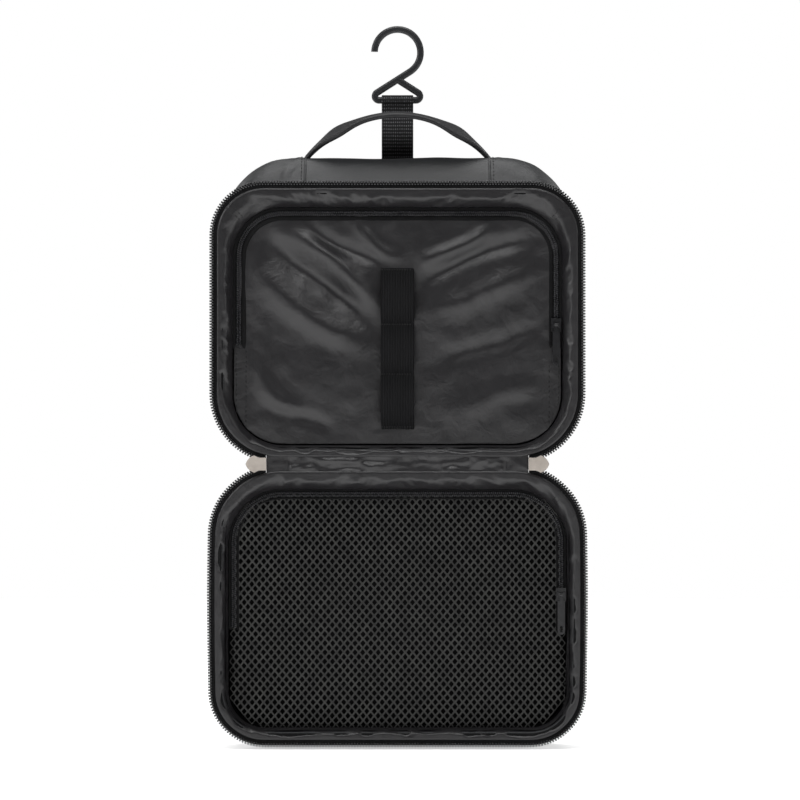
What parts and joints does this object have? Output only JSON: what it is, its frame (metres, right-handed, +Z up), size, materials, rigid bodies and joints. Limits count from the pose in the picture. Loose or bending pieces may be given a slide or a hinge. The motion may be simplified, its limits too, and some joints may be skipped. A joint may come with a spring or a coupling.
{
  "type": "hanging toiletry bag",
  "caption": "Soft hanging toiletry bag opened flat: hook on webbing, arched handle, padded cases on a fabric fold, elastic loops on a zip pocket, net pocket below.",
  "frame": {"origin": "seat of the hook, the point inside its crown that rests on a rail", "axes": "+X to the right as one faces the open bag, +Y towards the wall behind it, +Z up"},
  "size_m": [0.235, 0.0543, 0.4553],
  "materials": {
    "coated_fabric": "matt coated, charcoal",
    "lining_fabric": "fine woven with a soft sheen, black",
    "foam": "padding, hidden",
    "zip_tape": "ribbed tape, black",
    "zip_teeth": "moulded, black",
    "black_metal": "satin black",
    "mesh_net": "knitted net, black",
    "elastic": "ribbed elastic, black",
    "webbing": "woven webbing, black",
    "hook_plastic": "moulded, satin black",
    "handle_fabric": "matt coated, black",
    "nickel": "brushed nickel"
  },
  "bodies": {
    "hook": {"hanger_hook": "hook_plastic"},
    "strap": {"hang_strap": "webbing"},
    "upper_case": {"upper_end_wall": "coated_fabric", "upper_fold_wall": "coated_fabric", "upper_side_walls": "coated_fabric", "upper_back_panel": "coated_fabric", "upper_back_foam": "foam", "upper_lining": "lining_fabric", "upper_lining_strip": "lining_fabric", "upper_zip_tape": "zip_tape", "upper_zip_teeth": "zip_teeth", "upper_spine_leaf": "lining_fabric", "upper_pocket_tape": "zip_tape", "upper_pocket_coil": "zip_teeth", "upper_side_flaps": "lining_fabric", "upper_pocket_panel": "lining_fabric", "elastic_band": "elastic", "strap_tail": "webbing"},
    "handle": {"carry_handle": "handle_fabric"},
    "lower_case": {"lower_end_wall": "coated_fabric", "lower_fold_wall": "coated_fabric", "lower_side_walls": "coated_fabric", "lower_back_panel": "coated_fabric", "lower_back_foam": "foam", "lower_lining": "lining_fabric", "lower_lining_strip": "lining_fabric", "lower_zip_tape": "zip_tape", "lower_zip_teeth": "zip_teeth", "lower_spine_leaf": "lining_fabric", "lower_pocket_tape": "zip_tape", "lower_pocket_coil": "zip_teeth", "lower_side_flaps": "lining_fabric", "lower_mesh_panel": "mesh_net"},
    "left_main_slider": {"left_slider": "nickel"},
    "left_main_pull": {"left_pull_tab": "nickel"},
    "right_main_slider": {"right_slider": "nickel"},
    "right_main_pull": {"right_pull_tab": "nickel"},
    "upper_small_slider": {"upper_pocket_slider": "black_metal"},
    "upper_small_pull": {"upper_pocket_pull": "black_metal"},
    "lower_small_slider": {"lower_pocket_slider": "black_metal"},
    "lower_small_pull": {"lower_pocket_pull": "black_metal"}
  },
  "joints": [
    {"name": "strap_swing", "type": "hinge", "parent": "hook", "child": "strap", "pos_m": [0, 0, -0.043], "axis": [-1, 0, 0], "range_deg": [-60, 60]},
    {"name": "case_swing", "type": "hinge", "parent": "strap", "child": "upper_case", "pos_m": [0, 0, -0.0826], "axis": [1, 0, 0], "range_deg": [-12, 120]},
    {"name": "handle_swing", "type": "hinge", "parent": "upper_case", "child": "handle", "pos_m": [0, -0.02128, -0.0792], "axis": [-1, 0, 0], "range_deg": [-70, 15], "stiffness_Nm_per_rad": 0.02},
    {"name": "main_fold", "type": "hinge", "parent": "upper_case", "child": "lower_case", "pos_m": [0, -0.048, -0.274], "axis": [-1, 0, 0], "range_deg": [-10, 180]},
    {"name": "left_slider_turn", "type": "hinge", "parent": "upper_case", "child": "left_main_slider", "pos_m": [-0.0884, -0.048, -0.274], "axis": [-1, 0, 0], "range_deg": [-5, 90]},
    {"name": "right_slider_turn", "type": "hinge", "parent": "upper_case", "child": "right_main_slider", "pos_m": [0.0884, -0.048, -0.274], "axis": [-1, 0, 0], "range_deg": [-5, 90]},
    {"name": "left_pull_swing", "type": "hinge", "parent": "left_main_slider", "child": "left_main_pull", "pos_m": [-0.0884, -0.0434, -0.274], "axis": [0, 0, -1], "range_deg": [-80, 40]},
    {"name": "right_pull_swing", "type": "hinge", "parent": "right_main_slider", "child": "right_main_pull", "pos_m": [0.0884, -0.0434, -0.274], "axis": [0, 0, 1], "range_deg": [-80, 40]},
    {"name": "upper_pocket_zip", "type": "slide", "parent": "upper_case", "child": "upper_small_slider", "axis": [0, 0, 1], "range_m": [0, 0.038]},
    {"name": "upper_pull_swing", "type": "hinge", "parent": "upper_small_slider", "child": "upper_small_pull", "pos_m": [0.0995, -0.04282, -0.187], "axis": [1, 0, 0], "range_deg": [-110, 0]},
    {"name": "lower_pocket_zip", "type": "slide", "parent": "lower_case", "child": "lower_small_slider", "axis": [0, 0, 1], "range_m": [0, 0.031]},
    {"name": "lower_pull_swing", "type": "hinge", "parent": "lower_small_slider", "child": "lower_small_pull", "pos_m": [0.1026, -0.04282, -0.356], "axis": [1, 0, 0], "range_deg": [-110, 0]}
  ],
  "couplings": [
    {"joint": "left_slider_turn", "follows": "main_fold", "ratio": 0.5},
    {"joint": "right_slider_turn", "follows": "main_fold", "ratio": 0.5}
  ]
}
